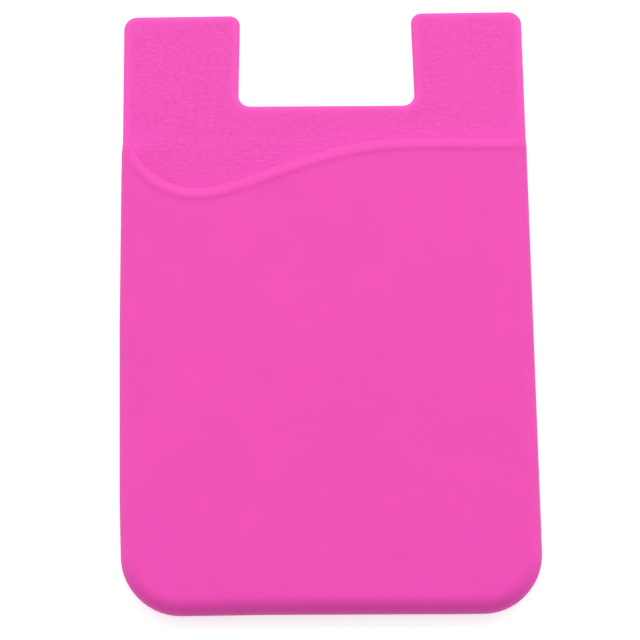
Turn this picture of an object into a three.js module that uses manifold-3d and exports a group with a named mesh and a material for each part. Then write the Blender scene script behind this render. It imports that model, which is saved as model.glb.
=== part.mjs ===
// A stick-on card holder: one silicone moulding, with an adhesive pad and its release liner on the back.
// Millimetres. X runs across the holder, +Y up to the tabs, +Z out of the front.
// The origin is the middle of the outline, on the underside of the liner.
import * as THREE from "three";
import { mergeVertices } from "three/addons/utils/BufferGeometryUtils.js";
import Module from "manifold-3d";

const wasm = await Module();
wasm.setup();

// The card that the pocket is sized for, and the room that it has
const cardWidth = 53.98;
const cardThickness = 0.76;
const cardSideClearance = 0.31;
const cardFaceClearance = 0.34;

// Silicone walls
const sideWall = 1.2;
const plateThickness = 1.2;
const frontWall = 1.1;

// Back sheets
const linerThickness = 0.12;
const padThickness = 0.3;
const padMargin = 4;
const padCornerRadius = 3;
const linerOverhang = 0.8;

// Rim of the pocket, from the left side wall through the dip and the crest to the right side wall.
// Heights are measured up from the bottom edge, and places across from the nearer side.
const rimLeftHeight = 65.5;
const rimDipHeight = 58.55;
const rimDipFromLeft = 10.8;
const rimCrestHeight = 65.45;
const rimCrestFromRight = 16.2;
const rimRightHeight = 65.55;
const rimLeftFall = 3.9;
const rimLeftLean = 1.4;
const rimDipReachLeft = 4.6;
const rimDipReachRight = 6.9;
const rimCrestReachLeft = 14.1;
const rimCrestReachRight = 8;
const rimRightReach = 1.2;
const rimRightSag = 0.5;

// Bead along the rim
const beadRadius = 0.8;
const beadProud = 0.2;
const beadSideProud = 0.12;

// Tabs and the notch between them
const plateAboveCrest = 6.55;
const notchDepth = 14;
const notchMouthWidth = 24.5;
const notchFloorWidth = 25.1;
const notchOffset = 0.4;
const notchFloorRadius = 1.7;
const tabInnerRadius = 1.45;
const tabOuterRadius = 1.9;

// Rounding of the moulding
const bottomCornerRadius = 8;
const frontEdgeRadius = 2.2;
const plateEdgeRadius = 0.7;
const backEdgeRadius = 0.3;
const pocketEdgeRadius = 0.3;

// Fineness of the facets
const cornerSteps = 10;
const edgeSteps = 6;
const rimSteps = 48;
const beadSides = 9;
const beadSteps = 96;

// Room that a cutting or trimming solid has past what it cuts
const cutRoom = 5;

// Sizes worked out from those above
const pocketWidth = cardWidth + 2 * cardSideClearance;
const cardGap = cardThickness + cardFaceClearance;
const halfWidth = pocketWidth / 2 + sideWall;
const holderHeight = rimCrestHeight + plateAboveCrest + notchDepth;
const top = holderHeight / 2;
const bottom = -top;
const notchFloor = top - notchDepth;
const backZ = linerThickness + padThickness;
const plateZ = backZ + plateThickness;
const ceilingZ = plateZ + cardGap;
const frontZ = ceilingZ + frontWall;

// A closed outline through corners of { x, y, r }, counter-clockwise, moved inwards by inset.
// An outer corner's radius shrinks with the inset and an inner corner's grows, so rings match point by point.
function roundedOutline(corners, inset, z) {
  const ring = [];
  corners.forEach((corner, i) => {
    const before = corners.at(i - 1);
    const after = corners[(i + 1) % corners.length];
    const into = new THREE.Vector2(corner.x - before.x, corner.y - before.y).normalize();
    const out = new THREE.Vector2(after.x - corner.x, after.y - corner.y).normalize();
    const turn = Math.atan2(into.cross(out), into.dot(out));
    const side = Math.sign(turn);
    const bisector = new THREE.Vector2(-into.y - out.y, into.x + out.x).normalize();
    const reach = 1 / Math.cos(turn / 2);
    const radius = corner.r - side * inset;
    const centre = new THREE.Vector2(corner.x, corner.y)
      .addScaledVector(bisector, reach * (inset + side * radius));
    const start = Math.atan2(-into.x, into.y) + (side > 0 ? 0 : Math.PI);
    for (let k = 0; k <= cornerSteps; k++) {
      const angle = start + (turn * k) / cornerSteps;
      ring.push(
        new THREE.Vector3(centre.x + radius * Math.cos(angle), centre.y + radius * Math.sin(angle), z),
      );
    }
  });
  return ring;
}

// The four corners of a box outline, with one radius for each pair
function boxCorners(halfX, lowY, highY, lowRadius, highRadius) {
  return [
    { x: -halfX, y: lowY, r: lowRadius },
    { x: halfX, y: lowY, r: lowRadius },
    { x: halfX, y: highY, r: highRadius },
    { x: -halfX, y: highY, r: highRadius },
  ];
}

// A closed geometry through rings of the same length, capped at both ends
function loft(rings) {
  const count = rings[0].length;
  const flat = (ring) => ring.map((p) => new THREE.Vector2(p.x, p.y));
  const index = [];
  THREE.ShapeUtils.triangulateShape(flat(rings[0]), []).forEach(([a, b, c]) => index.push(a, c, b));
  for (let level = 0; level < rings.length - 1; level++) {
    const low = level * count;
    const high = low + count;
    for (let i = 0; i < count; i++) {
      const j = (i + 1) % count;
      index.push(low + i, low + j, high + j, low + i, high + j, high + i);
    }
  }
  const last = (rings.length - 1) * count;
  THREE.ShapeUtils.triangulateShape(flat(rings.at(-1)), []).forEach(([a, b, c]) =>
    index.push(last + a, last + b, last + c),
  );
  const geometry = new THREE.BufferGeometry().setFromPoints(rings.flat());
  geometry.setIndex(index);
  return geometry;
}

// An outline raised from lowZ to highZ, with its lower and upper edges rounded
function roundedSlab(corners, lowZ, highZ, lowRadius, highRadius) {
  const rings = [];
  for (let k = 0; k <= edgeSteps; k++) {
    const angle = (k / edgeSteps) * (Math.PI / 2);
    const inset = lowRadius * (1 - Math.sin(angle));
    rings.push(roundedOutline(corners, inset, lowZ + lowRadius * (1 - Math.cos(angle))));
  }
  for (let k = 0; k <= edgeSteps; k++) {
    const angle = (k / edgeSteps) * (Math.PI / 2);
    const inset = highRadius * (1 - Math.cos(angle));
    rings.push(roundedOutline(corners, inset, highZ - highRadius * (1 - Math.sin(angle))));
  }
  return loft(rings);
}

function solid(geometry) {
  const bare = new THREE.BufferGeometry();
  bare.setAttribute("position", geometry.getAttribute("position"));
  bare.setIndex(geometry.index);
  const merged = mergeVertices(bare);
  return new wasm.Manifold(
    new wasm.Mesh({
      numProp: 3,
      vertProperties: merged.getAttribute("position").array,
      triVerts: new Uint32Array(merged.index.array),
    }),
  );
}

function geometryOf(manifold) {
  const mesh = manifold.getMesh();
  const geometry = new THREE.BufferGeometry();
  geometry.setAttribute("position", new THREE.BufferAttribute(mesh.vertProperties, 3));
  geometry.setIndex(new THREE.BufferAttribute(mesh.triVerts, 1));
  return geometry;
}

// The bead's centre runs this far inside the pocket's front and side faces
const beadFrontDepth = beadRadius - beadProud;
const beadSideDepth = beadRadius - beadSideProud;
const rimEndX = halfWidth - beadSideDepth;

// The rim seen from the front
function rimCurve() {
  const dipX = rimDipFromLeft - halfWidth;
  const crestX = halfWidth - rimCrestFromRight;
  const leftY = bottom + rimLeftHeight;
  const dipY = bottom + rimDipHeight;
  const crestY = bottom + rimCrestHeight;
  const rightY = bottom + rimRightHeight;
  const curve = new THREE.Path();
  curve.moveTo(-rimEndX, leftY);
  curve.bezierCurveTo(
    rimLeftLean - rimEndX, leftY - rimLeftFall,
    dipX - rimDipReachLeft, dipY,
    dipX, dipY,
  );
  curve.bezierCurveTo(
    dipX + rimDipReachRight, dipY,
    crestX - rimCrestReachLeft, crestY,
    crestX, crestY,
  );
  curve.bezierCurveTo(
    crestX + rimCrestReachRight, crestY,
    rimEndX - rimRightReach, rightY - rimRightSag,
    rimEndX, rightY,
  );
  return curve.getPoints(rimSteps);
}

// The height of the rim at a place across the holder
function rimHeightAt(rim, x) {
  const next = rim.findIndex((p) => p.x >= x);
  if (next <= 0) return next < 0 ? rim.at(-1).y : rim[0].y;
  const a = rim[next - 1];
  const b = rim[next];
  return THREE.MathUtils.mapLinear(x, a.x, b.x, a.y, b.y);
}

// Everything below the rim, as a tall block that trims the front of the pocket
function belowRim(rim) {
  const side = halfWidth + cutRoom;
  const shape = new THREE.Shape();
  shape.moveTo(-side, bottom - cutRoom);
  shape.lineTo(side, bottom - cutRoom);
  shape.lineTo(side, rim.at(-1).y);
  [...rim].reverse().forEach((p) => shape.lineTo(p.x, p.y));
  shape.lineTo(-side, rim[0].y);
  const depth = frontZ + 2 * cutRoom;
  return new THREE.ExtrudeGeometry(shape, { depth, bevelEnabled: false }).translate(0, 0, -cutRoom);
}

// A round bead whose centre follows the rim over the front and down both side walls into the plate
function bead(rim) {
  const crownZ = frontZ - beadFrontDepth;
  const bend = frontEdgeRadius - beadFrontDepth;
  const footZ = plateZ - plateEdgeRadius;
  const section = new THREE.Path();
  section.moveTo(-rimEndX, footZ);
  section.lineTo(-rimEndX, crownZ - bend);
  section.absarc(bend - rimEndX, crownZ - bend, bend, Math.PI, Math.PI / 2, true);
  section.lineTo(rimEndX - bend, crownZ);
  section.absarc(rimEndX - bend, crownZ - bend, bend, Math.PI / 2, 0, true);
  section.lineTo(rimEndX, footZ);
  const places = section.getSpacedPoints(beadSteps);
  const path = new THREE.CatmullRomCurve3(
    places.map((p) => new THREE.Vector3(p.x, rimHeightAt(rim, p.x), p.y)),
  );
  const round = new THREE.Shape().absarc(0, 0, beadRadius, 0, 2 * Math.PI, false);
  return new THREE.ExtrudeGeometry(round, {
    steps: beadSteps,
    curveSegments: beadSides,
    extrudePath: path,
    bevelEnabled: false,
  });
}

// The back plate: the whole outline, with the notch between the two tabs
function backPlate() {
  const mouth = notchMouthWidth / 2;
  const floor = notchFloorWidth / 2;
  const corners = [
    { x: -halfWidth, y: bottom, r: bottomCornerRadius },
    { x: halfWidth, y: bottom, r: bottomCornerRadius },
    { x: halfWidth, y: top, r: tabOuterRadius },
    { x: notchOffset + mouth, y: top, r: tabInnerRadius },
    { x: notchOffset + floor, y: notchFloor, r: notchFloorRadius },
    { x: notchOffset - floor, y: notchFloor, r: notchFloorRadius },
    { x: notchOffset - mouth, y: top, r: tabInnerRadius },
    { x: -halfWidth, y: top, r: tabOuterRadius },
  ];
  return roundedSlab(corners, backZ, plateZ, backEdgeRadius, plateEdgeRadius);
}

// The silicone moulding: plate, pocket and bead, hollowed by the card space
function siliconeHolder() {
  const rim = rimCurve();
  const outer = boxCorners(halfWidth, bottom, top, bottomCornerRadius, bottomCornerRadius);
  const pocket = solid(roundedSlab(outer, backZ, frontZ, backEdgeRadius, frontEdgeRadius));
  const innerRadius = bottomCornerRadius - sideWall;
  const inner = boxCorners(pocketWidth / 2, bottom + sideWall, top + cutRoom, innerRadius, innerRadius);
  const cardSpace = solid(roundedSlab(inner, plateZ, ceilingZ, pocketEdgeRadius, pocketEdgeRadius));
  return pocket
    .intersect(solid(belowRim(rim)))
    .add(solid(backPlate()))
    .add(solid(bead(rim)))
    .subtract(cardSpace);
}

// A flat sheet on the back, centred between the bottom edge and the notch
function backSheet(margin, cornerRadius, lowZ, thickness) {
  const corners = boxCorners(
    halfWidth - margin, bottom + margin, notchFloor - margin, cornerRadius, cornerRadius,
  );
  return loft([roundedOutline(corners, 0, lowZ), roundedOutline(corners, 0, lowZ + thickness)]);
}

function piece(name, geometry, material) {
  const mesh = new THREE.Mesh(geometry, material);
  mesh.name = name;
  return mesh;
}

const silicone = new THREE.MeshStandardMaterial({ color: 0xf255ba, roughness: 0.6, metalness: 0 });
const adhesive = new THREE.MeshStandardMaterial({ color: 0xe8e8e4, roughness: 0.35, metalness: 0 });
const paper = new THREE.MeshStandardMaterial({ color: 0xf4f3ee, roughness: 0.55, metalness: 0 });

const holder = new THREE.Group();
holder.add(
  piece("silicone_holder", geometryOf(siliconeHolder()), silicone),
  piece("adhesive_pad", backSheet(padMargin, padCornerRadius, linerThickness, padThickness), adhesive),
  piece(
    "release_liner",
    backSheet(padMargin - linerOverhang, padCornerRadius + linerOverhang, 0, linerThickness),
    paper,
  ),
);

export default holder;
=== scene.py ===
"""The looks of a stick-on card holder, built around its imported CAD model.

The silicone moulding is one watertight mesh in millimetres, scaled to metres at the end. Four sheets make it:
the back, the plate's face (which runs on as the pocket's floor), the pocket's ceiling and the pocket's front.
Each sheet is a height over a flat outline, and strips of upright faces join the sheets along shared lines.
"""
import math

import bpy
import numpy as np
from mathutils import Matrix, Vector
from mathutils.geometry import delaunay_2d_cdt


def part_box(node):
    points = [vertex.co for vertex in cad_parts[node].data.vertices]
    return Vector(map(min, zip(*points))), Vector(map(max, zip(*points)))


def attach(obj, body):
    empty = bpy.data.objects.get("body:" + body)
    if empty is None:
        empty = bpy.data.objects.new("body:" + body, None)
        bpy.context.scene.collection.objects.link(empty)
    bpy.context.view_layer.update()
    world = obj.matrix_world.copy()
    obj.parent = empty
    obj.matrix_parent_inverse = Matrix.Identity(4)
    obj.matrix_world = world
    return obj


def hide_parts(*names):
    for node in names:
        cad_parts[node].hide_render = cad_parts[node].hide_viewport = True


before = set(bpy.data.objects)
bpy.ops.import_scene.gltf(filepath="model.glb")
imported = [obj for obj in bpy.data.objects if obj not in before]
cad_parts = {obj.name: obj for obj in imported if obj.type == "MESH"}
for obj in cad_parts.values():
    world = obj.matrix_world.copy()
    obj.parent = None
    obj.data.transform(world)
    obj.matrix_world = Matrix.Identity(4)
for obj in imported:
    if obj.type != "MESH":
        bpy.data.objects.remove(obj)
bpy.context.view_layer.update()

MM = 0.001

# What the frame gives, in millimetres
holder_low, holder_high = (np.array(corner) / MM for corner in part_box("silicone_holder"))
BOTTOM, TOP = holder_low[1], holder_high[1]
BACK_Z = holder_low[2]

# The moulding's sizes, as in the CAD model
HALF_WIDTH = 28.5
SIDE_WALL = 1.2
PLATE_THICKNESS = 1.2
CARD_GAP = 1.1
FRONT_WALL = 1.1
BOTTOM_CORNER_RADIUS = 8.0
FRONT_EDGE_RADIUS = 2.2
PLATE_EDGE_RADIUS = 0.7
BACK_EDGE_RADIUS = 0.3
POCKET_EDGE_RADIUS = 0.3
NOTCH_DEPTH = 14.0
NOTCH_MOUTH_WIDTH = 24.5
NOTCH_FLOOR_WIDTH = 25.1
NOTCH_OFFSET = 0.4
NOTCH_FLOOR_TILT = 0.22
NOTCH_FLOOR_RADIUS = 1.7
TAB_INNER_RADIUS = 1.45
TAB_OUTER_RADIUS = 1.9

PLATE_Z = BACK_Z + PLATE_THICKNESS
CEILING_Z = PLATE_Z + CARD_GAP
FRONT_Z = CEILING_Z + FRONT_WALL
INNER_X = HALF_WIDTH - SIDE_WALL

# The rim's centre line: end points and handles, up from the bottom edge and in from the nearer side
RIM_LEFT_HEIGHT = 65.5
RIM_DIP_HEIGHT = 58.55
RIM_DIP_FROM_LEFT = 10.8
RIM_CREST_HEIGHT = 65.45
RIM_CREST_FROM_RIGHT = 16.2
RIM_RIGHT_HEIGHT = 65.55
RIM_LEFT_FALL = 3.8
RIM_LEFT_LEAN = 1.75
RIM_DIP_REACH_LEFT = 4.5
RIM_DIP_REACH_RIGHT = 6.9
RIM_CREST_REACH_LEFT = 14.1
RIM_CREST_REACH_RIGHT = 8.0
RIM_RIGHT_REACH = 1.2
RIM_RIGHT_SAG = 0.5

# The bead: its outer edge lies BEAD_EDGE out from the rim's centre line, and its slopes run in from that edge,
# over its back and down into the soft crease, as (distance from the edge, slope)
BEAD_RADIUS = 0.8
BEAD_SIDE_PROUD = 0.12
BEAD_SWELL = 0.03
BEAD_SWELL_REACH = 0.5
BEAD_EDGE = 0.86
BEAD_LIP = 0.12
BEAD_SLOPES = [
    (0, 0.55), (0.5, 0.33), (1.4, 0.02), (1.58, -0.09),
    (1.74, -0.27), (1.9, -0.17), (2.2, -0.05), (2.6, 0),
]

# The blunt shoulder in which the bead ends on each side wall
SHOULDER_HEIGHT = 66.2
SHOULDER_CHAMFER = 0.25
SHOULDER_WIDTH = 1.15
SHOULDER_JOIN_X = 2.2

# How far the soft outline strays: in along X for heights up the left side, and up for places across the bottom
LEFT_BOW = [(0, 0.48), (8, 0.42), (15, 0.21), (22, 0.12), (30, 0.03), (40, -0.09), (62, -0.09), (68, 0)]
BOTTOM_RISE = [(-28.5, 0.36), (-20, 0.22), (-8, 0.24), (10, 0.08), (18, 0), (28.5, 0.03)]
BOTTOM_RISE_REACH = 20

# The leather grain on the plate's face: where it fades in from the outline, its mesh pitch and its depth,
# the size of its large and small wrinkle cells, and how far the painted light beside the rim reaches
GRAIN_BORDER = (0.5, 1.8)
GRAIN_PITCH = (0.2, 0.1)
GRAIN_DEPTH = 0.022
LARGE_CELL = (1.5, 0.47)
SMALL_CELL = (0.9, 0.33)
RIM_PAINTED_LIGHT_REACH = 1.3

# Spacing of mesh points
EDGE_PITCH = 0.4
CURVE_PITCH = 0.25
SHOULDER_PITCH = 0.1
WALL_PITCH = 1.0
OPEN_PITCH = 2.0

# The photograph's view, in degrees, metres and millimetres of lens
CAMERA_PITCH, CAMERA_YAW, CAMERA_ROLL = 14.221, 0.287, -0.723
CAMERA_DISTANCE = 0.2885
CAMERA_TARGET = (-0.000914, -0.00197, 0)
CAMERA_LENS = 116.83
CAMERA_SENSOR = 36

# The studio: name, place, size and power of each light, the world's strength, and the floor
LIGHTS = [
    ("key_light", (0.08, 0.75, 0.8), (2.2, 0.5), 11.2),
    ("left_fill", (-0.95, 0.1, 0.35), (0.6, 0.6), 2.2),
    ("right_fill", (0.95, 0.1, 0.35), (0.6, 0.6), 1.8),
]
WORLD_STRENGTH = 0.5
FLOOR_HALF_SIZE = 3.0
FLOOR_DROP = 0.00005
FLOOR_GREY = 0.7
FLOOR_GLOW = 0.58


def smoothstep(low, high, value):
    t = np.clip((value - low) / (high - low), 0, 1)
    return t * t * (3 - 2 * t)


def bezier(p0, p1, p2, p3, count):
    t = np.linspace(0, 1, count)[:, None]
    p0, p1, p2, p3 = (np.array(p, float) for p in (p0, p1, p2, p3))
    return (1 - t) ** 3 * p0 + 3 * (1 - t) ** 2 * t * p1 + 3 * (1 - t) * t**2 * p2 + t**3 * p3


def evenly(line, pitch):
    """The line again, with points at an even pitch."""
    step = np.hypot(*np.diff(line, axis=0).T)
    along = np.concatenate([[0], np.cumsum(step)])
    places = np.linspace(0, along[-1], max(2, int(round(along[-1] / pitch)) + 1))
    return np.column_stack([np.interp(places, along, line[:, i]) for i in (0, 1)])


def rounded_path(corners, pitch):
    """An open path through (x, y, radius) corners, with points along its straights and arcs."""
    points = [np.array(corners[0][:2], float)]
    for before, (x, y, radius), after in zip(corners, corners[1:], corners[2:]):
        into = np.array([x - before[0], y - before[1]])
        out = np.array([after[0] - x, after[1] - y])
        into, out = into / np.hypot(*into), out / np.hypot(*out)
        turn = math.atan2(into[0] * out[1] - into[1] * out[0], into @ out)
        reach = radius * math.tan(abs(turn) / 2)
        start = np.array([x, y]) - reach * into
        side = math.copysign(1, turn)
        centre = start + side * radius * np.array([-into[1], into[0]])
        first = math.atan2(*(start - centre)[::-1])
        steps = max(8, int(radius * abs(turn) / CURVE_PITCH))
        points += straight(points[-1], start, pitch)
        angles = first + turn * np.arange(1, steps + 1) / steps
        points += [centre + radius * np.array([math.cos(a), math.sin(a)]) for a in angles]
    points += straight(points[-1], np.array(corners[-1][:2], float), pitch)
    return np.array(points)


def straight(start, end, pitch):
    steps = max(1, int(round(np.hypot(*(end - start)) / pitch)))
    return [start + (end - start) * k / steps for k in range(1, steps + 1)]


def beside(line, inset):
    """The line moved to its left by inset."""
    direction = np.gradient(line, axis=0)
    direction /= np.hypot(*direction.T)[:, None]
    return line + inset * np.column_stack([-direction[:, 1], direction[:, 0]])


def distance(points, line):
    """How far each point lies from a line of straight segments."""
    start, step = line[:-1], np.diff(line, axis=0)
    length2 = np.maximum((step**2).sum(1), 1e-18)
    found = []
    for chunk in np.array_split(points, max(1, len(points) // 2000)):
        offset = chunk[:, None] - start[None]
        t = np.clip((offset * step).sum(2) / length2, 0, 1)
        found.append(np.sqrt(((offset - t[..., None] * step) ** 2).sum(2).min(1)))
    return np.concatenate(found)


# Lines in plan

def rim_centre_line():
    side = HALF_WIDTH - (BEAD_RADIUS - BEAD_SIDE_PROUD)
    dip_x, crest_x = RIM_DIP_FROM_LEFT - HALF_WIDTH, HALF_WIDTH - RIM_CREST_FROM_RIGHT
    left_y, dip_y = BOTTOM + RIM_LEFT_HEIGHT, BOTTOM + RIM_DIP_HEIGHT
    crest_y, right_y = BOTTOM + RIM_CREST_HEIGHT, BOTTOM + RIM_RIGHT_HEIGHT
    stretches = [
        ((-side, left_y), (RIM_LEFT_LEAN - side, left_y - RIM_LEFT_FALL),
         (dip_x - RIM_DIP_REACH_LEFT, dip_y), (dip_x, dip_y)),
        ((dip_x, dip_y), (dip_x + RIM_DIP_REACH_RIGHT, dip_y),
         (crest_x - RIM_CREST_REACH_LEFT, crest_y), (crest_x, crest_y)),
        ((crest_x, crest_y), (crest_x + RIM_CREST_REACH_RIGHT, crest_y),
         (side - RIM_RIGHT_REACH, right_y - RIM_RIGHT_SAG), (side, right_y)),
    ]
    lines = [bezier(*stretch, 80) for stretch in stretches]
    return np.concatenate([lines[0], lines[1][1:], lines[2][1:]])


def rim_outer_edge():
    """The bead's upper edge, from the left side to the right, with a blunt shoulder on each side wall."""
    edge = beside(rim_centre_line(), BEAD_EDGE)
    top_y = BOTTOM + SHOULDER_HEIGHT
    edge = edge[(edge[:, 0] > SHOULDER_JOIN_X - HALF_WIDTH) & (edge[:, 0] < HALF_WIDTH - SHOULDER_JOIN_X)]
    cut = SHOULDER_CHAMFER
    slope = edge[0] - edge[1]
    slope /= np.hypot(*slope)
    left = np.concatenate([
        bezier((-HALF_WIDTH, top_y - cut), (-HALF_WIDTH, top_y - cut / 2),
               (-HALF_WIDTH + cut / 2, top_y), (-HALF_WIDTH + cut, top_y), 8),
        bezier((-HALF_WIDTH + SHOULDER_WIDTH, top_y), (-HALF_WIDTH + SHOULDER_WIDTH + 0.35, top_y),
               edge[0] + 0.8 * slope, edge[0], 14)[:-1],
    ])
    slope = edge[-1] - edge[-2]
    slope /= np.hypot(*slope)
    right = np.concatenate([
        bezier(edge[-1], edge[-1] + 0.5 * slope,
               (HALF_WIDTH - cut - 0.5, top_y), (HALF_WIDTH - cut, top_y), 12)[1:],
        bezier((HALF_WIDTH - cut, top_y), (HALF_WIDTH - cut / 2, top_y),
               (HALF_WIDTH, top_y - cut / 2), (HALF_WIDTH, top_y - cut), 8)[1:],
    ])
    return np.concatenate([left, edge, right])


def split_at_x(line, x):
    """The line cut in two where it first crosses x, both parts holding the crossing point."""
    i = int(np.argmax(line[:, 0] >= x))
    a, b = line[i - 1], line[i]
    cut = a + (b - a) * (x - a[0]) / (b[0] - a[0])
    return np.vstack([line[:i], cut]), np.vstack([cut, line[i:]])


# C is the rim's outer edge, A the outline above and below it, and B the pocket's inner wall
rim_edge = rim_outer_edge()
left_part, rest = split_at_x(rim_edge, -INNER_X)
middle_part, right_part = split_at_x(rest, INNER_X)
C_LEFT = evenly(left_part, SHOULDER_PITCH)
C_MIDDLE = evenly(middle_part, CURVE_PITCH)
C_RIGHT = evenly(right_part, SHOULDER_PITCH)
C_ALL = np.concatenate([C_LEFT, C_MIDDLE[1:], C_RIGHT[1:]])
LEFT_END, RIGHT_END = C_ALL[0], C_ALL[-1]

notch_floor = TOP - NOTCH_DEPTH
mouth, floor_half = NOTCH_MOUTH_WIDTH / 2, NOTCH_FLOOR_WIDTH / 2
A_UPPER = rounded_path([
    (*RIGHT_END, 0),
    (HALF_WIDTH, TOP, TAB_OUTER_RADIUS),
    (NOTCH_OFFSET + mouth, TOP, TAB_INNER_RADIUS),
    (NOTCH_OFFSET + floor_half, notch_floor, NOTCH_FLOOR_RADIUS),
    (NOTCH_OFFSET - floor_half, notch_floor + NOTCH_FLOOR_TILT, NOTCH_FLOOR_RADIUS),
    (NOTCH_OFFSET - mouth, TOP, TAB_INNER_RADIUS),
    (-HALF_WIDTH, TOP, TAB_OUTER_RADIUS),
    (*LEFT_END, 0),
], EDGE_PITCH)
A_LOWER = rounded_path([
    (*LEFT_END, 0),
    (-HALF_WIDTH, BOTTOM, BOTTOM_CORNER_RADIUS),
    (HALF_WIDTH, BOTTOM, BOTTOM_CORNER_RADIUS),
    (*RIGHT_END, 0),
], EDGE_PITCH)
inner_radius = BOTTOM_CORNER_RADIUS - SIDE_WALL
B_WALL = rounded_path([
    (*C_MIDDLE[0], 0),
    (-INNER_X, BOTTOM + SIDE_WALL, inner_radius),
    (INNER_X, BOTTOM + SIDE_WALL, inner_radius),
    (*C_MIDDLE[-1], 0),
], WALL_PITCH)


# Heights of the four sheets

def edge_drop(inset, radius):
    """How far a rounded edge lies below its face at this inset from the outline."""
    short = np.clip(radius - inset, 0, radius)
    return radius - np.sqrt(radius**2 - short**2)


def bead_height(from_edge):
    """The bead's height over the pocket's face, at a distance in from the bead's outer edge."""
    places, slopes = zip(*BEAD_SLOPES)
    steps = np.linspace(0, places[-1], 200)
    slope = np.interp(steps, places, slopes)
    rise = np.concatenate([[0], np.cumsum((slope[1:] + slope[:-1]) / 2 * np.diff(steps))])
    return np.interp(from_edge, steps, rise - rise[-1]) - edge_drop(from_edge, BEAD_LIP)


def back_height(points):
    return BACK_Z + edge_drop(distance(points, np.concatenate([A_UPPER, A_LOWER[1:]])), BACK_EDGE_RADIUS)


def in_pocket(points):
    """0 at the pocket's mouth, 1 well inside it: the pocket's own fillets fade in there."""
    return smoothstep(0.4, 3, np.interp(points[:, 0], C_ALL[:, 0], C_ALL[:, 1]) - points[:, 1])


def plate_height(points):
    edge = edge_drop(distance(points, A_UPPER), PLATE_EDGE_RADIUS)
    fillet = edge_drop(distance(points, B_WALL), POCKET_EDGE_RADIUS) * in_pocket(points)
    return PLATE_Z - edge + fillet


def ceiling_height(points):
    lip = edge_drop(distance(points, C_MIDDLE), POCKET_EDGE_RADIUS)
    fillet = edge_drop(distance(points, B_WALL), POCKET_EDGE_RADIUS) * in_pocket(points)
    return CEILING_Z + lip - fillet


def front_height(points):
    edge = edge_drop(distance(points, A_LOWER), FRONT_EDGE_RADIUS)
    return FRONT_Z - edge + bead_height(distance(points, C_ALL))


# Leather grain

def hashed(ix, iy, seed):
    """A repeatable number from 0 to 1 for each lattice cell."""
    n = (ix * 374761393 + iy * 668265263 + seed * 974711) & 0x7FFFFFFF
    n = ((n ^ (n >> 13)) * 1274126177) & 0x7FFFFFFF
    return ((n ^ (n >> 16)) & 0xFFFFFF) / 0xFFFFFF


def value_noise(x, y, seed):
    ix, iy = np.floor(x).astype(np.int64), np.floor(y).astype(np.int64)
    fx, fy = smoothstep(0, 1, x - ix), smoothstep(0, 1, y - iy)
    low = hashed(ix, iy, seed) * (1 - fx) + hashed(ix + 1, iy, seed) * fx
    high = hashed(ix, iy + 1, seed) * (1 - fx) + hashed(ix + 1, iy + 1, seed) * fx
    return 2 * (low * (1 - fy) + high * fy) - 1


def cell_edges(x, y, seed):
    """Distance from the nearest border between scattered cells, in cell sizes."""
    ix, iy = np.floor(x).astype(np.int64), np.floor(y).astype(np.int64)
    nearest = np.full((2, len(x)), 9.0)
    for dx in (-1, 0, 1):
        for dy in (-1, 0, 1):
            cx, cy = ix + dx, iy + dy
            px, py = cx + hashed(cx, cy, seed), cy + hashed(cx, cy, seed + 1)
            d = np.hypot(x - px, y - py)
            second = np.maximum(nearest[0], d)
            nearest[1] = np.minimum(nearest[1], second)
            nearest[0] = np.minimum(nearest[0], d)
    return nearest[1] - nearest[0]


def grain_height(points):
    """Wavy wrinkles that run across the holder, from -1 in the creases to about 1."""
    x, y = points.T
    warp = 0.22 * value_noise(x / 1.1, y / 1.6, 11) + 0.07 * value_noise(x / 0.45, y / 0.7, 12)
    sway = 0.4 * value_noise(x / 1.7, y / 0.8, 13)
    cells = cell_edges((x + sway) / LARGE_CELL[0], (y + warp) / LARGE_CELL[1], 21)
    small = cell_edges((x - sway) / SMALL_CELL[0], (y + warp) / SMALL_CELL[1], 31)
    creases = np.exp(-((cells / 0.2) ** 2)) + 0.4 * np.exp(-((small / 0.25) ** 2))
    domes = 0.5 * np.clip(cells, 0, 0.8) + 0.3 * np.clip(small, 0, 0.8)
    patchy = 0.75 + 0.35 * value_noise(x / 3.1, y / 2.3, 51)
    return (domes - 0.7 * creases) * patchy + 0.25 * value_noise(x / 0.8, y / 0.3, 41)


def grain_mask(points):
    """1 on the grained face, 0 on its smooth border and in the pocket."""
    border = smoothstep(*GRAIN_BORDER, distance(points, A_UPPER))
    under = np.interp(points[:, 0], C_ALL[:, 0], C_ALL[:, 1]) - points[:, 1]
    return border * (1 - smoothstep(0.3, 1.2, under))


# Sheets and strips

# Values per vertex: the grain's mask and height, the strength of the painted light beside the rim, and that of the
# painted highlight on the plate's border
SURFACE_VALUES = ("grain_mask", "grain_relief", "rim_painted_light", "plate_edge_highlight")


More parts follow.
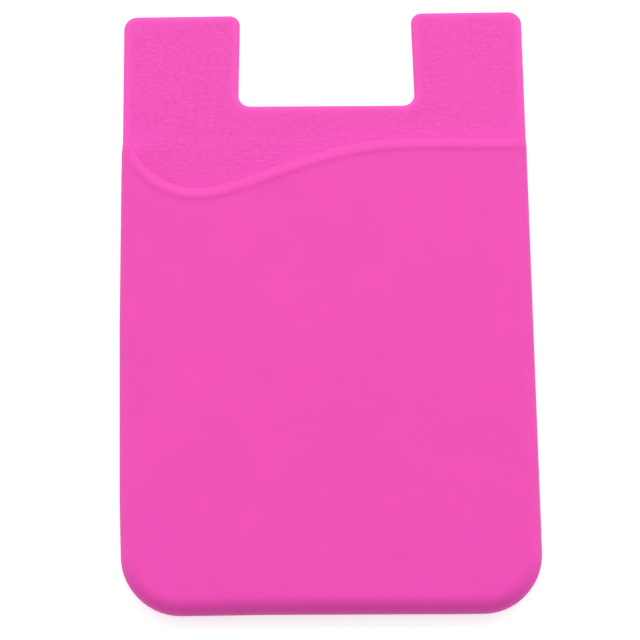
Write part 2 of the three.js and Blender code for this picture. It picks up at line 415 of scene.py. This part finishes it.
class Shell:
    """Collects vertices and faces, with the values in SURFACE_VALUES for each vertex."""

    def __init__(self):
        self.points = np.zeros((0, 3))
        self.surface = np.zeros((0, len(SURFACE_VALUES)))
        self.faces = []

    def add_points(self, points, surface=None):
        first = len(self.points)
        if surface is None:
            surface = np.zeros((len(points), len(SURFACE_VALUES)))
        self.points = np.vstack([self.points, points])
        self.surface = np.vstack([self.surface, surface])
        return np.arange(first, first + len(points))

    def add_sheet(self, boundary, rows, loose, height, faces_up, grained=False):
        """Triangulates a sheet and returns the vertex of each boundary point."""
        flat = [boundary, *rows, loose]
        firsts = np.cumsum([0] + [len(part) for part in flat])
        edges = [
            (int(first) + i, int(first) + i + 1)
            for first, row in zip(firsts[1:], rows) for i in range(len(row) - 1)
        ]
        plan = [Vector(p) for p in np.concatenate(flat)]
        face = [list(range(len(boundary)))]
        out_points, _, triangles, origins, _, loops = delaunay_2d_cdt(plan, edges, face, 1, 1e-5, True)
        plan = np.array([tuple(p) for p in out_points])
        kept = [t for t, loop in zip(triangles, loops) if loop]
        heights = height(plan)
        surface = None
        if grained:
            mask, relief = grain_mask(plan), grain_height(plan)
            heights = heights + GRAIN_DEPTH * mask * relief
            # How strongly the painted light beside the rim applies, fading with distance from the bead
            rim_painted_light = np.exp(-distance(plan, C_ALL) / RIM_PAINTED_LIGHT_REACH)
            # How strongly the painted highlight on the plate's smooth border applies
            plate_edge_highlight = 1 - smoothstep(*GRAIN_BORDER, distance(plan, A_UPPER))
            surface = np.column_stack([mask, relief, rim_painted_light, plate_edge_highlight])
        ids = self.add_points(np.column_stack([plan, heights]), surface)
        self.faces += [tuple(int(ids[v]) for v in (t if faces_up else reversed(t))) for t in kept]
        found = {o: int(ids[v]) for v, several in enumerate(origins) for o in several}
        return [found[i] for i in range(len(boundary))]

    def column(self, low, high, count):
        """Vertex numbers from low up to high, with count new ones between them."""
        shares = np.arange(1, count + 1)[:, None] / (count + 1)
        new = self.add_points(self.points[low] + shares * (self.points[high] - self.points[low]))
        return [low, *(int(i) for i in new), high]

    def add_strip(self, columns, flip):
        for a, b in zip(columns, columns[1:]):
            for k in range(len(a) - 1):
                quad = (a[k], b[k], b[k + 1], a[k + 1])
                self.faces.append(quad[::-1] if flip else quad)


def kept_runs(line, keep):
    """The stretches of a line whose points are kept, each with two points or more."""
    runs, run = [], []
    for point, kept in zip(line, keep):
        if kept:
            run.append(point)
        elif run:
            runs.append(run)
            run = []
    runs.append(run)
    return [np.array(r) for r in runs if len(r) > 1]


def rows_beside(line, loop, insets, others, clearance):
    """Rows inside a loop at insets from a line, cut off where they come near other lines or double back."""
    rows = []
    for inset in insets:
        row = beside(line, inset)
        keep = inside(row, loop) & (distance(row, line) > inset * 0.995 - 1e-3)
        for other in others:
            keep &= distance(row, other) > clearance
        rows += kept_runs(row, keep)
    return rows


def lattice(low, high, pitch_x, pitch_y):
    """Staggered points over a rectangle."""
    xs = np.arange(low[0], high[0], pitch_x)
    ys = np.arange(low[1], high[1], pitch_y)
    grid_x, grid_y = np.meshgrid(xs, ys)
    grid_x = grid_x + pitch_x / 2 * (np.arange(len(ys)) % 2)[:, None]
    return np.column_stack([grid_x.ravel(), grid_y.ravel()])


def inside(points, loop):
    """Which points lie inside a closed loop."""
    x, y = points.T
    result = np.zeros(len(points), bool)
    for (x0, y0), (x1, y1) in zip(loop, np.roll(loop, -1, axis=0)):
        if y0 != y1:
            crosses = (y0 > y) != (y1 > y)
            result ^= crosses & (x < (x1 - x0) * (y - y0) / (y1 - y0) + x0)
    return result


def round_insets(radius, steps):
    angles = np.arange(1, steps + 1) / steps * math.pi / 2
    return radius * (1 - np.cos(angles))


def open_points(loop, lines, clearance, pitch_x, pitch_y):
    """Lattice points inside a loop that keep clear of some lines."""
    points = lattice(loop.min(0), loop.max(0), pitch_x, pitch_y)
    points = points[inside(points, loop)]
    keep = np.ones(len(points), bool)
    for line, room in zip(lines, clearance):
        keep &= distance(points, line) > room
    return points[keep]


def build_shell():
    shell = Shell()
    loop_back = np.concatenate([A_UPPER[:-1], A_LOWER[:-1]])
    loop_plate = np.concatenate([A_UPPER[:-1], C_LEFT[:-1], B_WALL[:-1], C_RIGHT[:-1]])
    loop_ceiling = np.concatenate([B_WALL[:-1], C_MIDDLE[::-1][:-1]])
    loop_front = np.concatenate([A_LOWER[:-1], C_ALL[::-1][:-1]])
    outline = np.concatenate([A_UPPER, A_LOWER[1:]])

    rows = rows_beside(outline, loop_back, round_insets(BACK_EDGE_RADIUS, 4), [], 0)
    loose = open_points(loop_back, [outline], [1.0], OPEN_PITCH, OPEN_PITCH)
    back = shell.add_sheet(loop_back, rows, loose, back_height, faces_up=False)

    rows = rows_beside(A_UPPER, loop_plate, round_insets(PLATE_EDGE_RADIUS, 7), [C_LEFT, C_RIGHT], 0.03)
    rows += rows_beside(
        B_WALL, loop_plate, round_insets(POCKET_EDGE_RADIUS, 3), [A_UPPER, C_LEFT, C_RIGHT], 0.1)
    fine = open_points(loop_plate, [A_UPPER, C_LEFT, C_RIGHT, B_WALL], [0.78, 0.07, 0.07, 0.35], *GRAIN_PITCH)
    fine = fine[np.interp(fine[:, 0], C_ALL[:, 0], C_ALL[:, 1]) - fine[:, 1] < 1.2]
    coarse = open_points(loop_plate, [B_WALL], [0.8], OPEN_PITCH, OPEN_PITCH)
    coarse = coarse[np.interp(coarse[:, 0], C_ALL[:, 0], C_ALL[:, 1]) - coarse[:, 1] > 1.5]
    loose = np.concatenate([fine, coarse])
    plate = shell.add_sheet(loop_plate, rows, loose, plate_height, faces_up=True, grained=True)

    rows = rows_beside(C_MIDDLE[::-1], loop_ceiling, round_insets(POCKET_EDGE_RADIUS, 3), [B_WALL], 0.35)
    rows += rows_beside(B_WALL, loop_ceiling, round_insets(POCKET_EDGE_RADIUS, 3), [C_MIDDLE], 0.35)
    loose = open_points(loop_ceiling, [B_WALL, C_MIDDLE], [0.8, 0.8], OPEN_PITCH, OPEN_PITCH)
    ceiling = shell.add_sheet(loop_ceiling, rows, loose, ceiling_height, faces_up=False)

    insets = np.concatenate([round_insets(BEAD_LIP, 4), np.linspace(0.2, BEAD_SLOPES[-1][0], 22), [3.0]])
    rows = rows_beside(C_ALL[::-1], loop_front, insets, [A_LOWER], 0.02)
    side_insets = np.append(round_insets(FRONT_EDGE_RADIUS, 10), FRONT_EDGE_RADIUS + 0.5)
    rows += rows_beside(A_LOWER, loop_front, side_insets, [C_ALL], 0.02)
    loose = open_points(loop_front, [A_LOWER, C_ALL], [3.2, 3.2], OPEN_PITCH, OPEN_PITCH)
    front = shell.add_sheet(loop_front, rows, loose, front_height, faces_up=True)

    # Vertex numbers along each shared line
    n_upper, n_lower = len(A_UPPER), len(A_LOWER)
    n_left, n_wall, n_right = len(C_LEFT), len(B_WALL), len(C_RIGHT)
    back_upper, back_lower = back[: n_upper], back[n_upper - 1 :] + back[:1]
    plate_upper = plate[: n_upper]
    plate_left = plate[n_upper - 1 : n_upper + n_left - 1]
    plate_wall = plate[n_upper + n_left - 2 : n_upper + n_left + n_wall - 2]
    plate_right = plate[n_upper + n_left + n_wall - 3 :] + plate[:1]
    ceiling_wall = ceiling[:n_wall]
    ceiling_middle = (ceiling[n_wall - 1 :] + ceiling[:1])[::-1]
    front_lower = front[:n_lower]
    front_rim = (front[n_lower - 1 :] + front[:1])[::-1]
    front_left = front_rim[:n_left]
    front_middle = front_rim[n_left - 1 : len(front_rim) - n_right + 1]
    front_right = front_rim[len(front_rim) - n_right :]

    # Upright strips. A column where strips meet is built once, from the columns that meet in it.
    upper = [shell.column(a, b, 2) for a, b in zip(back_upper, plate_upper)]
    wall = [shell.column(a, b, 2) for a, b in zip(plate_wall, ceiling_wall)]
    middle = [shell.column(a, b, 1) for a, b in zip(ceiling_middle, front_middle)]
    left = [shell.column(a, b, 4) for a, b in zip(plate_left[:-1], front_left[:-1])]
    left.append(wall[0] + middle[0][1:])
    right = [shell.column(a, b, 4) for a, b in zip(plate_right[1:], front_right[1:])]
    right.insert(0, wall[-1] + middle[-1][1:])
    lower = [shell.column(a, b, 7) for a, b in zip(back_lower[1:-1], front_lower[1:-1])]
    lower.insert(0, upper[-1] + left[0][1:])
    lower.append(upper[0] + right[-1][1:])
    shell.add_strip(upper, flip=False)
    shell.add_strip(lower, flip=False)
    shell.add_strip(wall, flip=True)
    shell.add_strip(middle, flip=True)
    shell.add_strip(left, flip=True)
    shell.add_strip(right, flip=True)
    return shell


def soften(points):
    """The outline as the soft moulding has it: a swell at each end of the bead, and the left side bowed a little."""
    x, y, z = points.T
    from_centre = distance(points[:, :2], C_ALL) - BEAD_EDGE
    near_bead = np.exp(-((from_centre / BEAD_SWELL_REACH) ** 2))
    near_side = smoothstep(HALF_WIDTH - 1.3, HALF_WIDTH, abs(x))
    raised = smoothstep(0.5 * (BACK_Z + PLATE_Z), PLATE_Z, z)
    moved = points.copy()
    moved[:, 0] += np.sign(x) * BEAD_SWELL * near_bead * near_side * raised
    up = y - BOTTOM
    moved[:, 0] += np.interp(up, *zip(*LEFT_BOW)) * smoothstep(0, HALF_WIDTH, -x)
    moved[:, 1] += np.interp(x, *zip(*BOTTOM_RISE)) * smoothstep(BOTTOM_RISE_REACH, 0, up)
    return moved


def holder_object():
    shell = build_shell()
    mesh = bpy.data.meshes.new("holder_moulding")
    mesh.from_pydata(soften(shell.points) * MM, [], shell.faces)
    mesh.update()
    for name, values in zip(SURFACE_VALUES, shell.surface.T):
        attribute = mesh.attributes.new(name, "FLOAT", "POINT")
        attribute.data.foreach_set("value", values.astype(np.float32))
    mesh.shade_smooth()
    mesh.set_sharp_from_angle(angle=math.radians(38))
    obj = bpy.data.objects.new("holder_moulding", mesh)
    bpy.context.scene.collection.objects.link(obj)
    return obj


# Materials

def new_material(name):
    material = bpy.data.materials.new(name)
    material.use_nodes = True
    nodes, links = material.node_tree.nodes, material.node_tree.links
    return material, nodes, links, nodes["Principled BSDF"]


def object_coordinates(nodes, links, scale):
    """Object coordinates, with scale turning metres into the texture's own unit."""
    place = nodes.new("ShaderNodeTexCoord")
    mapping = nodes.new("ShaderNodeMapping")
    mapping.inputs["Scale"].default_value = scale
    links.new(place.outputs["Object"], mapping.inputs["Vector"])
    return mapping.outputs["Vector"]


def noise(nodes, links, vector, scale, detail, roughness=0.5):
    node = nodes.new("ShaderNodeTexNoise")
    node.inputs["Scale"].default_value = scale
    node.inputs["Detail"].default_value = detail
    node.inputs["Roughness"].default_value = roughness
    links.new(vector, node.inputs["Vector"])
    return node.outputs["Fac"]


def math_node(nodes, links, operation, a, b):
    node = nodes.new("ShaderNodeMath")
    node.operation = operation
    for socket, value in zip(node.inputs, (a, b)):
        if isinstance(value, (int, float)):
            socket.default_value = value
        else:
            links.new(value, socket)
    return node.outputs[0]


def ranged(nodes, links, value, low, high, to_low, to_high):
    node = nodes.new("ShaderNodeMapRange")
    node.inputs["From Min"].default_value = low
    node.inputs["From Max"].default_value = high
    node.inputs["To Min"].default_value = to_low
    node.inputs["To Max"].default_value = to_high
    links.new(value, node.inputs["Value"])
    return node.outputs["Result"]


def mixed(nodes, links, factor, a, b, blend="MIX"):
    node = nodes.new("ShaderNodeMix")
    node.data_type = "RGBA"
    node.blend_type = blend
    for name, value in (("Factor", factor), ("A", a), ("B", b)):
        socket = next(s for s in node.inputs if s.name == name and s.enabled)
        if isinstance(value, (int, float, tuple)):
            socket.default_value = value
        else:
            links.new(value, socket)
    return next(s for s in node.outputs if s.enabled)


def bump(nodes, links, height, distance_m, strength, normal=None):
    node = nodes.new("ShaderNodeBump")
    node.inputs["Distance"].default_value = distance_m
    node.inputs["Strength"].default_value = strength
    links.new(height, node.inputs["Height"])
    if normal is not None:
        links.new(normal, node.inputs["Normal"])
    return node.outputs["Normal"]


def attribute(nodes, name):
    node = nodes.new("ShaderNodeAttribute")
    node.attribute_name = name
    return node.outputs["Fac"]


def linear(red, green, blue):
    """A colour given as it looks, 0 to 255, as the linear one that a shader needs."""
    def one(c):
        c /= 255
        return c / 12.92 if c <= 0.04045 else ((c + 0.055) / 1.055) ** 2.4
    return (one(red), one(green), one(blue), 1.0)


SMOOTH_PINK = linear(239, 71, 179)
CLOUDY_PINK = linear(235, 69, 177)
GRAINED_PINK = linear(237, 77, 183)
# Painted shade: the grain's creases are coloured darker, as if shadowed.
CREASE_SHADE_PINK = linear(232, 65, 173)
# Painted light: a lighter, cooler pink on the plate beside the rim, offsetting the front wall's shade and red bounce
# light.
RIM_PAINTED_LIGHT_PINK = linear(245, 81, 199)
# Painted highlight: a lighter pink along the plate's smooth rounded border, where sheen and light through the thin
# edge would brighten it.
EDGE_HIGHLIGHT_PINK = linear(244, 80, 188)


def silicone_material():
    material, nodes, links, shader = new_material("matt_pink_silicone")
    across = object_coordinates(nodes, links, (1000, 1000, 1000))
    stretched = object_coordinates(nodes, links, (600, 1700, 1000))
    mask = attribute(nodes, "grain_mask")
    relief = attribute(nodes, "grain_relief")

    mottle = noise(nodes, links, across, 0.16, 3)
    cloudy = mixed(nodes, links, ranged(nodes, links, mottle, 0.3, 0.7, 0, 1), SMOOTH_PINK, CLOUDY_PINK)
    # Painted shade: a darker colour in the grain's low creases, stronger the deeper the crease.
    crease_shaded = mixed(nodes, links, ranged(nodes, links, relief, -0.9, 0.3, 1, 0), GRAINED_PINK, CREASE_SHADE_PINK)
    # Painted light: the plate beside the rim is coloured lighter and cooler, fading away from the bead, to offset
    # the front wall's shade and red bounce light.
    shaded = mixed(nodes, links, attribute(nodes, "rim_painted_light"), crease_shaded, RIM_PAINTED_LIGHT_PINK)
    # Painted highlight: the plate's smooth border along its outline is coloured lighter.
    plain = mixed(nodes, links, attribute(nodes, "plate_edge_highlight"), cloudy, EDGE_HIGHLIGHT_PINK)
    colour = mixed(nodes, links, mask, plain, shaded)
    links.new(colour, shader.inputs["Base Color"])

    worn = noise(nodes, links, across, 0.5, 4)
    links.new(ranged(nodes, links, worn, 0.3, 0.7, 0.54, 0.59), shader.inputs["Roughness"])

    wrinkles = noise(nodes, links, stretched, 1.6, 3, 0.6)
    fine_grain = math_node(nodes, links, "MULTIPLY", wrinkles, mask)
    spark = noise(nodes, links, across, 3.5, 3)
    first = bump(nodes, links, fine_grain, 0.00005, 0.6)
    links.new(bump(nodes, links, spark, 0.00005, 0.8, first), shader.inputs["Normal"])
    shader.inputs["Specular IOR Level"].default_value = 0.35
    return material


def sheet_material(name, colour, darker, roughness, fibre_scale, fibre_depth):
    material, nodes, links, shader = new_material(name)
    place = object_coordinates(nodes, links, (1000, 1000, 1000))
    fibres = noise(nodes, links, place, fibre_scale, 6, 0.65)
    shade = mixed(nodes, links, ranged(nodes, links, fibres, 0.35, 0.65, 0, 1), colour, darker)
    links.new(shade, shader.inputs["Base Color"])
    sheen = ranged(nodes, links, fibres, 0.3, 0.7, roughness - 0.05, roughness + 0.05)
    links.new(sheen, shader.inputs["Roughness"])
    links.new(bump(nodes, links, fibres, fibre_depth, 0.5), shader.inputs["Normal"])
    return material


def finish_node(name, material):
    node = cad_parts[name]
    node.data.materials.clear()
    node.data.materials.append(material)


# Stage, light and camera

def floor_object():
    """The white floor, which glows to the camera and in reflections, and keeps the holder's shadow."""
    size = FLOOR_HALF_SIZE
    mesh = bpy.data.meshes.new("floor")
    corners = [(-size, -size, 0), (size, -size, 0), (size, size, 0), (-size, size, 0)]
    mesh.from_pydata(corners, [], [(0, 1, 2, 3)])
    floor = bpy.data.objects.new("floor", mesh)
    floor.location.z = -FLOOR_DROP
    bpy.context.scene.collection.objects.link(floor)
    material, nodes, links, shader = new_material("white_floor")
    shader.inputs["Base Color"].default_value = (FLOOR_GREY, FLOOR_GREY, FLOOR_GREY, 1)
    shader.inputs["Roughness"].default_value = 0.9
    shader.inputs["Specular IOR Level"].default_value = 0.1
    glow = nodes.new("ShaderNodeEmission")
    path = nodes.new("ShaderNodeLightPath")
    added = nodes.new("ShaderNodeAddShader")
    seen = math_node(nodes, links, "MAXIMUM", path.outputs["Is Camera Ray"], path.outputs["Is Glossy Ray"])
    links.new(math_node(nodes, links, "MULTIPLY", seen, FLOOR_GLOW), glow.inputs["Strength"])
    links.new(shader.outputs["BSDF"], added.inputs[0])
    links.new(glow.outputs["Emission"], added.inputs[1])
    links.new(added.outputs["Shader"], nodes["Material Output"].inputs["Surface"])
    mesh.materials.append(material)


def area_light(name, place, sizes, power):
    """A rectangular light that faces the origin."""
    light = bpy.data.lights.new(name, "AREA")
    light.shape = "RECTANGLE"
    light.size, light.size_y = sizes
    light.energy = power
    lamp = bpy.data.objects.new(name, light)
    lamp.location = place
    lamp.rotation_euler = (Vector((0, 0, 0)) - Vector(place)).to_track_quat("-Z", "Y").to_euler()
    bpy.context.scene.collection.objects.link(lamp)


def set_world(strength):
    world = bpy.data.worlds.new("studio")
    world.use_nodes = True
    background = world.node_tree.nodes["Background"]
    background.inputs["Color"].default_value = (1, 1, 1, 1)
    background.inputs["Strength"].default_value = strength
    bpy.context.scene.world = world


def add_camera():
    """The photograph's view: nearly straight down, from a little towards the bottom edge."""
    pitch, yaw, roll = (math.radians(angle) for angle in (CAMERA_PITCH, CAMERA_YAW, CAMERA_ROLL))
    back = Vector((math.sin(yaw) * math.cos(pitch), -math.sin(pitch), math.cos(yaw) * math.cos(pitch)))
    level_up = (Vector((0, 1, 0)) - back.y * back).normalized()
    level_right = level_up.cross(back)
    right = math.cos(roll) * level_right + math.sin(roll) * level_up
    up = back.cross(right)
    camera = bpy.data.cameras.new("camera")
    camera.sensor_width = CAMERA_SENSOR
    camera.lens = CAMERA_LENS
    camera.clip_start, camera.clip_end = 0.01, 20
    obj = bpy.data.objects.new("camera", camera)
    place = Vector(CAMERA_TARGET) + CAMERA_DISTANCE * back
    obj.matrix_world = Matrix.Translation(place) @ Matrix((right, up, back)).transposed().to_4x4()
    bpy.context.scene.collection.objects.link(obj)
    bpy.context.scene.camera = obj


bpy.context.scene.view_settings.view_transform = "Standard"
add_camera()
set_world(WORLD_STRENGTH)
for light in LIGHTS:
    area_light(*light)

holder = holder_object()
holder.data.materials.append(silicone_material())
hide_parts("silicone_holder")
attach(holder, "root")
finish_node("adhesive_pad", sheet_material(
    "adhesive_sheet", linear(226, 226, 220), linear(216, 216, 210), 0.35, 1.2, 0.00002))
finish_node("release_liner", sheet_material(
    "liner_paper", linear(240, 239, 234), linear(226, 225, 218), 0.5, 1.6, 0.00002))
floor_object()
